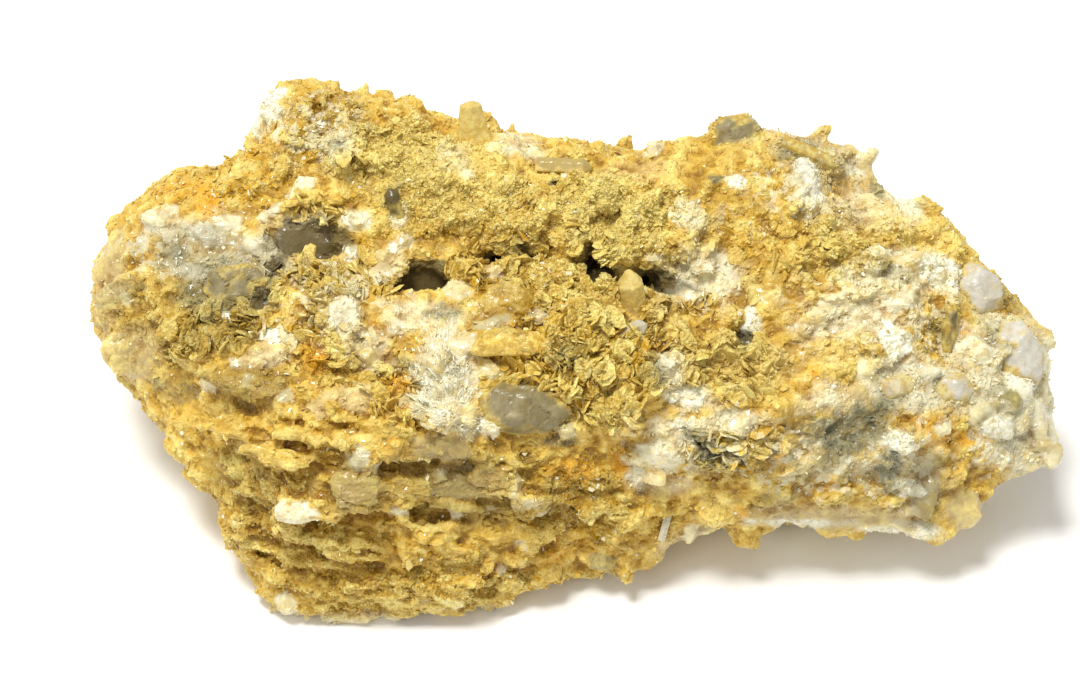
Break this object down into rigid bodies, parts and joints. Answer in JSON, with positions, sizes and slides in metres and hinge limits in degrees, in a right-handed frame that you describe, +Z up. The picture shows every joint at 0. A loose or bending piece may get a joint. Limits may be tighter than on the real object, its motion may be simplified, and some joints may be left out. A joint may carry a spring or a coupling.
{
  "type": "magnesite with talc and quartz specimen",
  "caption": "Rough hand specimen of ochre magnesite, with clear quartz crystals and white talc seated in its crust, that rests on a flat underside.",
  "frame": {"origin": "middle of the specimen's footprint, on the surface it rests on", "axes": "+Z up, +X along the length, to the right as the broad crystal face is looked at, +Y away from the viewer, towards the rear wall"},
  "size_m": [0.129, 0.0656, 0.0419],
  "materials": {
    "magnesite": "rough ochre crystal crust, sparkling where cleavage faces catch the light",
    "quartz": "clear to smoky grey, glossy broken faces, dusted with ochre",
    "talc": "white to grey-green pearly leaves"
  },
  "bodies": {
    "root": {"magnesite_mass": "magnesite", "quartz_centre": "quartz", "quartz_short": "quartz", "quartz_needle": "quartz", "quartz_upper": "quartz", "quartz_column": "quartz", "quartz_rear_blade": "quartz", "quartz_skyline": "quartz", "quartz_rear_lump": "quartz", "quartz_right": "quartz", "quartz_end": "quartz", "quartz_shard": "quartz", "quartz_slab": "quartz", "quartz_left": "quartz", "quartz_pale_near": "quartz", "quartz_pale_far": "quartz", "talc_fan": "talc", "talc_left": "talc", "talc_crest": "talc", "talc_middle": "talc", "talc_glint": "talc", "talc_grey": "talc", "talc_right": "talc"}
  },
  "joints": []
}
